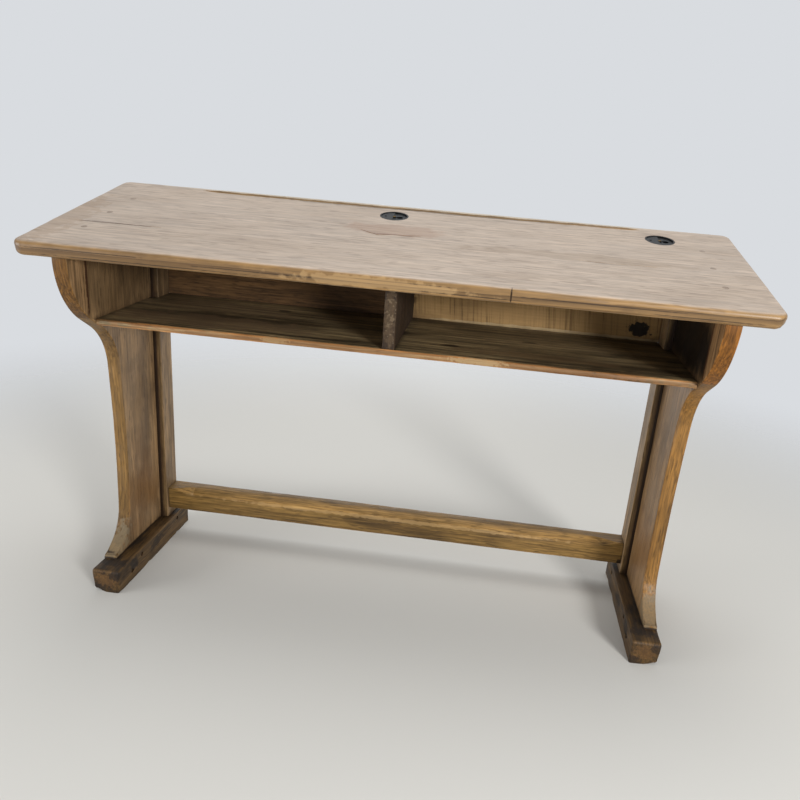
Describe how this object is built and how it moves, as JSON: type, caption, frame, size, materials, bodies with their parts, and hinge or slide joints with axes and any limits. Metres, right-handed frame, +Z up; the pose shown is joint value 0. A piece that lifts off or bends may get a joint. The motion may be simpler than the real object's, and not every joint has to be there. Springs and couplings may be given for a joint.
{
  "type": "double school desk",
  "caption": "Old wooden two-seat school desk: sloping top with pen groove and inkwells, open book box with divider, curved end boards on sledge feet, foot rail.",
  "frame": {"origin": "on the floor, under the middle of the desk's overall box", "axes": "+X to the right end as the pupils sit, +Y away from them to the back, +Z up"},
  "size_m": [1.18, 0.362, 0.7403],
  "materials": {
    "worn_top_wood": "waxed and worn, satin",
    "frame_wood": "old stain and varnish, worn at the edges",
    "foot_wood": "dark old stain, scuffed",
    "rail_wood": "stain worn off by shoes",
    "shelf_wood": "dark old stain",
    "divider_wood": "rough sawn",
    "dark_back_wood": "dark old stain",
    "pale_back_wood": "rough sawn, bare",
    "plug_wood": "sanded flush",
    "peg_wood": "dark end grain",
    "screw_steel": "dull, oxidised",
    "bakelite": "black, moulded, glossy",
    "pot_glass": "pressed, stained by ink",
    "rivet_brass": "tarnished"
  },
  "bodies": {
    "desk": {"back_screws": "screw_steel", "divider": "divider_wood", "foot_pegs": "peg_wood", "foot_rail": "rail_wood", "left_back_board": "dark_back_wood", "left_console_nose": "frame_wood", "left_end_board": "frame_wood", "left_foot": "foot_wood", "left_inkwell_cap": "bakelite", "left_inkwell_pot": "pot_glass", "left_inkwell_rivet": "rivet_brass", "left_post": "frame_wood", "rail_pegs": "peg_wood", "right_back_board": "pale_back_wood", "right_console_nose": "frame_wood", "right_end_board": "frame_wood", "right_foot": "foot_wood", "right_inkwell_cap": "bakelite", "right_inkwell_pot": "pot_glass", "right_inkwell_rivet": "rivet_brass", "right_post": "frame_wood", "shelf_front_board": "shelf_wood", "shelf_rear_board": "shelf_wood", "shelf_screws": "screw_steel", "top_front_board": "worn_top_wood", "top_plugs": "plug_wood", "top_rear_board": "worn_top_wood", "top_screws": "screw_steel"},
    "left_shutter": {"left_inkwell_shutter": "bakelite"},
    "right_shutter": {"right_inkwell_shutter": "bakelite"}
  },
  "joints": [
    {"name": "left_shutter_pivot", "type": "hinge", "parent": "desk", "child": "left_shutter", "pos_m": [-0.034, 0.10776, 0.72507], "axis": [0, -0.2377, 0.9713], "range_deg": [-180, 0]},
    {"name": "right_shutter_pivot", "type": "hinge", "parent": "desk", "child": "right_shutter", "pos_m": [0.451, 0.10776, 0.72507], "axis": [0, -0.2377, 0.9713], "range_deg": [-180, 0]}
  ]
}
